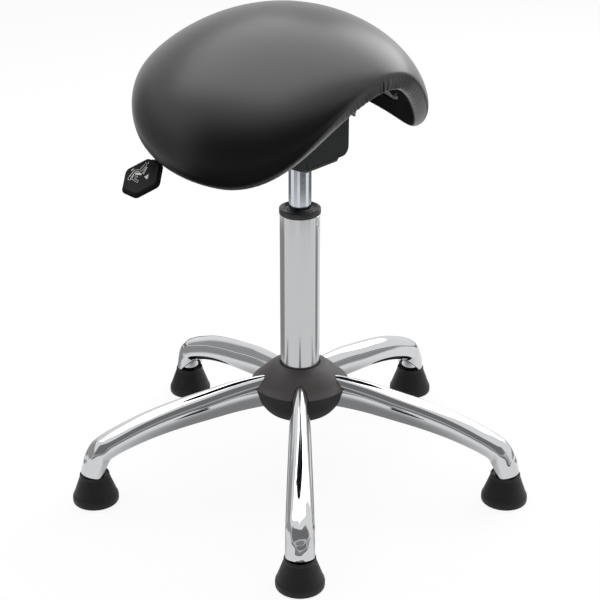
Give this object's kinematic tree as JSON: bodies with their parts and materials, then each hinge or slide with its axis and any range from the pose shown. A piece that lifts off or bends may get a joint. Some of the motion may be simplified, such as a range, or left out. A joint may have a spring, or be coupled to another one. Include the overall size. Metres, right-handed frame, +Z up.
{
  "type": "saddle stool",
  "caption": "Saddle stool: arched, padded seat on a tilting mechanism with two paddle levers, a gas-lift column and a splayed chromed base on plain glides.",
  "frame": {"origin": "on the floor, at the middle of the box round the five glides. The column's axis stands 20.3 mm to -X and 5.9 mm to -Y of it, because five legs don't centre their box on the hub", "axes": "+Z up along the column. The rider faces -Y. The tilt lever is on the -X side, the rider's right hand, and the height lever on the +X side"},
  "size_m": [0.5587, 0.5726, 0.6076],
  "materials": {
    "chrome": "bright chrome plate on steel tube",
    "zinc_steel": "zinc-plated steel",
    "black_steel": "black powder coat on folded steel",
    "hub_plastic": "fine-textured dark brownish grey moulding",
    "black_plastic": "black moulding, satin",
    "grey_plastic": "dark grey moulding, fine texture",
    "leatherette": "black leatherette with a soft sheen and fine grain",
    "foam": "cream moulded foam",
    "rubber": "black rubber",
    "brass": "plain brass"
  },
  "bodies": {
    "base": {"hub_core": "zinc_steel", "hub_cover_upper": "hub_plastic", "hub_cover_lower": "hub_plastic", "leg_1": "chrome", "leg_2": "chrome", "leg_3": "chrome", "leg_4": "chrome", "leg_5": "chrome", "foot_sleeve_1": "chrome", "foot_sleeve_2": "chrome", "foot_sleeve_3": "chrome", "foot_sleeve_4": "chrome", "foot_sleeve_5": "chrome", "glide_stem_1": "zinc_steel", "glide_stem_2": "zinc_steel", "glide_stem_3": "zinc_steel", "glide_stem_4": "zinc_steel", "glide_stem_5": "zinc_steel", "glide_1": "black_plastic", "glide_2": "black_plastic", "glide_3": "black_plastic", "glide_4": "black_plastic", "glide_5": "black_plastic", "outer_tube": "chrome", "guide_bush": "black_plastic", "thrust_bearing": "zinc_steel", "rubber_buffer": "rubber"},
    "piston": {"piston_rod": "chrome", "piston_head": "zinc_steel", "retaining_clip": "black_steel"},
    "lift": {"gas_cylinder": "chrome", "cone_socket": "black_steel", "lower_bracket": "black_steel", "mechanism_casing": "grey_plastic", "tilt_shaft": "zinc_steel", "clamp_bolt": "zinc_steel"},
    "seat": {"seat_carrier": "black_steel", "seat_bolt_1": "zinc_steel", "seat_bolt_2": "zinc_steel", "seat_bolt_3": "zinc_steel", "seat_bolt_4": "zinc_steel", "seat_shell": "black_plastic", "seat_foam": "foam", "seat_cover": "leatherette"},
    "tilt_lever": {"tilt_lever_rod": "black_steel", "tilt_paddle": "grey_plastic"},
    "height_lever": {"height_lever_rod": "black_steel", "height_paddle": "grey_plastic"},
    "valve": {"valve_pin": "brass"}
  },
  "joints": [
    {"name": "column_swivel", "type": "hinge", "parent": "base", "child": "piston", "pos_m": [-0.0203, -0.00585, 0.095], "axis": [0, 0, 1], "continuous": true},
    {"name": "gas_lift", "type": "slide", "parent": "piston", "child": "lift", "axis": [0, 0, 1], "range_m": [-0.04, 0.158]},
    {"name": "seat_tilt", "type": "hinge", "parent": "lift", "child": "seat", "pos_m": [-0.0203, -0.03135, 0.455], "axis": [1, 0, 0], "range_deg": [-3, 8]},
    {"name": "tilt_lever_turn", "type": "hinge", "parent": "lift", "child": "tilt_lever", "pos_m": [-0.0623, 0.03215, 0.455], "axis": [1, 0, 0], "range_deg": [0, 8]},
    {"name": "height_lever_turn", "type": "hinge", "parent": "lift", "child": "height_lever", "pos_m": [0.0197, 0.01015, 0.475], "axis": [1, 0, 0], "range_deg": [0, 8], "stiffness_Nm_per_rad": 0.8, "springref_deg": -5.73},
    {"name": "valve_press", "type": "slide", "parent": "lift", "child": "valve", "axis": [0, 0, 1], "range_m": [-0.0025, 0]}
  ],
  "couplings": [
    {"joint": "valve_press", "follows": "height_lever_turn", "m_per_rad": -0.0175}
  ]
}
